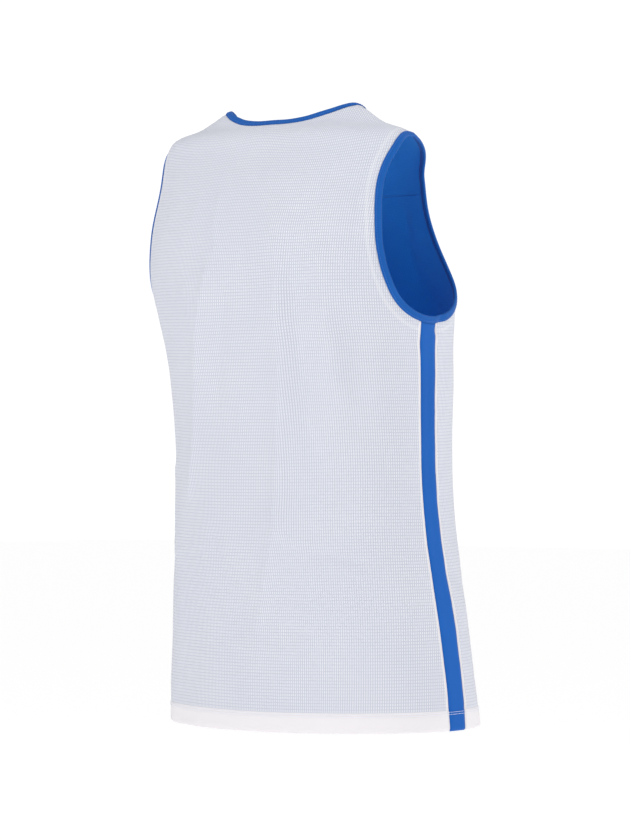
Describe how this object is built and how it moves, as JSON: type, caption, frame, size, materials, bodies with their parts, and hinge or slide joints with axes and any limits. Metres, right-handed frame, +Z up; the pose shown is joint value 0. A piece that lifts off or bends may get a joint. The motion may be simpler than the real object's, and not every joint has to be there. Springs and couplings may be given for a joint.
{
  "type": "basketball jersey",
  "caption": "Sleeveless basketball jersey, filled out as if worn: white open-knit outside, blue inside, with bound neck and armholes, side stripes and a turned hem.",
  "frame": {"origin": "midway between the ridges of the two shoulders, where the jersey hangs on its wearer", "axes": "+Z up towards the neck, -Y out of the wearer's chest, +X to the wearer's left"},
  "size_m": [0.4346, 0.3026, 0.7523],
  "materials": {
    "white_mesh_knit": "matte",
    "blue_knit": "matte",
    "blue_trim": "matte"
  },
  "bodies": {
    "root": {"back_panel": "white_mesh_knit", "front_panel": "white_mesh_knit", "back_lining": "blue_knit", "front_lining": "blue_knit", "side_stripe_left": "blue_trim", "side_stripe_right": "blue_trim", "neck_binding": "blue_trim", "armhole_binding_left": "blue_trim", "armhole_binding_right": "blue_trim"}
  },
  "joints": []
}
